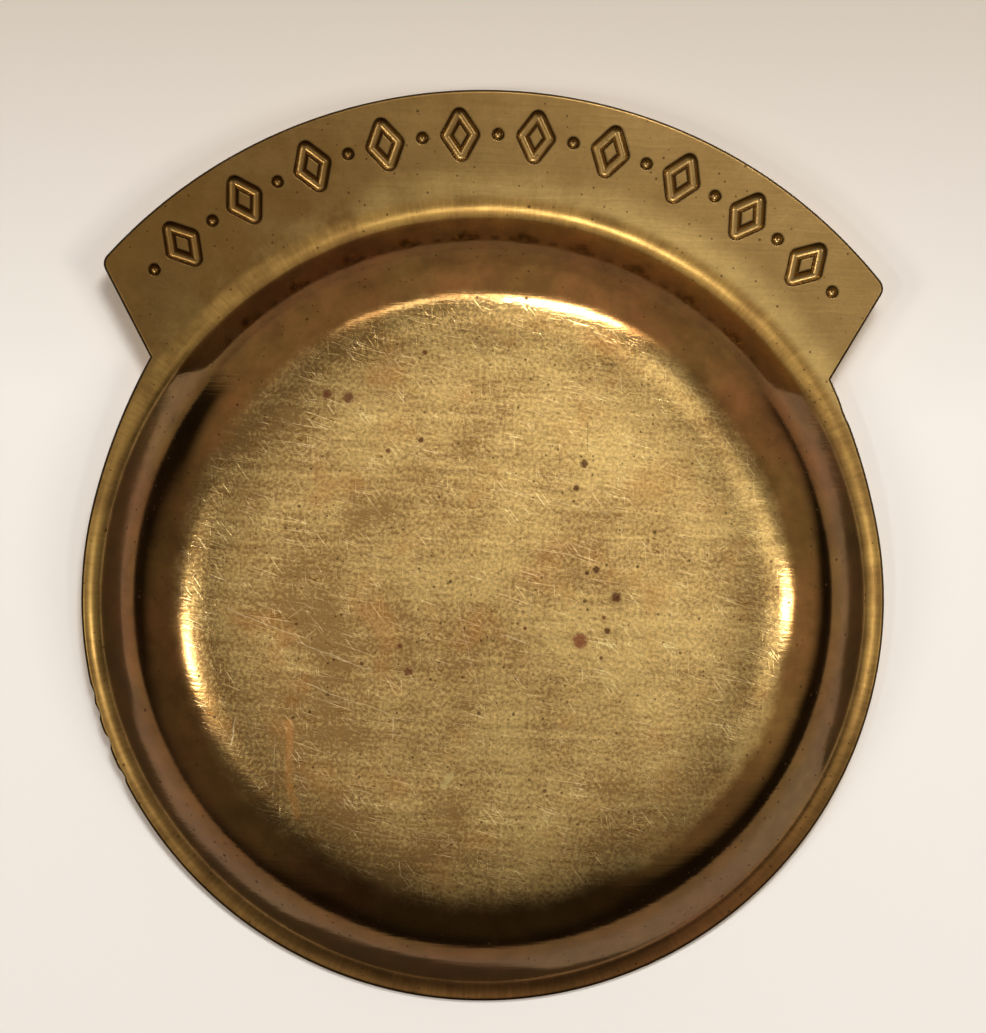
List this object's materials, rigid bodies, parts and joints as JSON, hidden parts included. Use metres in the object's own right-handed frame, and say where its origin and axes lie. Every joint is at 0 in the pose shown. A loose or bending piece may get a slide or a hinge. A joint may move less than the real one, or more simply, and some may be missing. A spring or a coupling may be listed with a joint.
{
  "type": "coin tray",
  "caption": "Round drawn brass coin tray with a narrow flange and an arched header that carries an embossed border.",
  "frame": {"origin": "middle of the flat underside of the well, which the tray rests on", "axes": "+Z out of the open well, +Y towards the header, +X to the right seen from the front with the header up"},
  "size_m": [0.127, 0.1441, 0.0146],
  "materials": {
    "brass_sheet": "drawn brass, tarnished and worn"
  },
  "bodies": {
    "root": {"pressed_tray": "brass_sheet"}
  },
  "joints": []
}
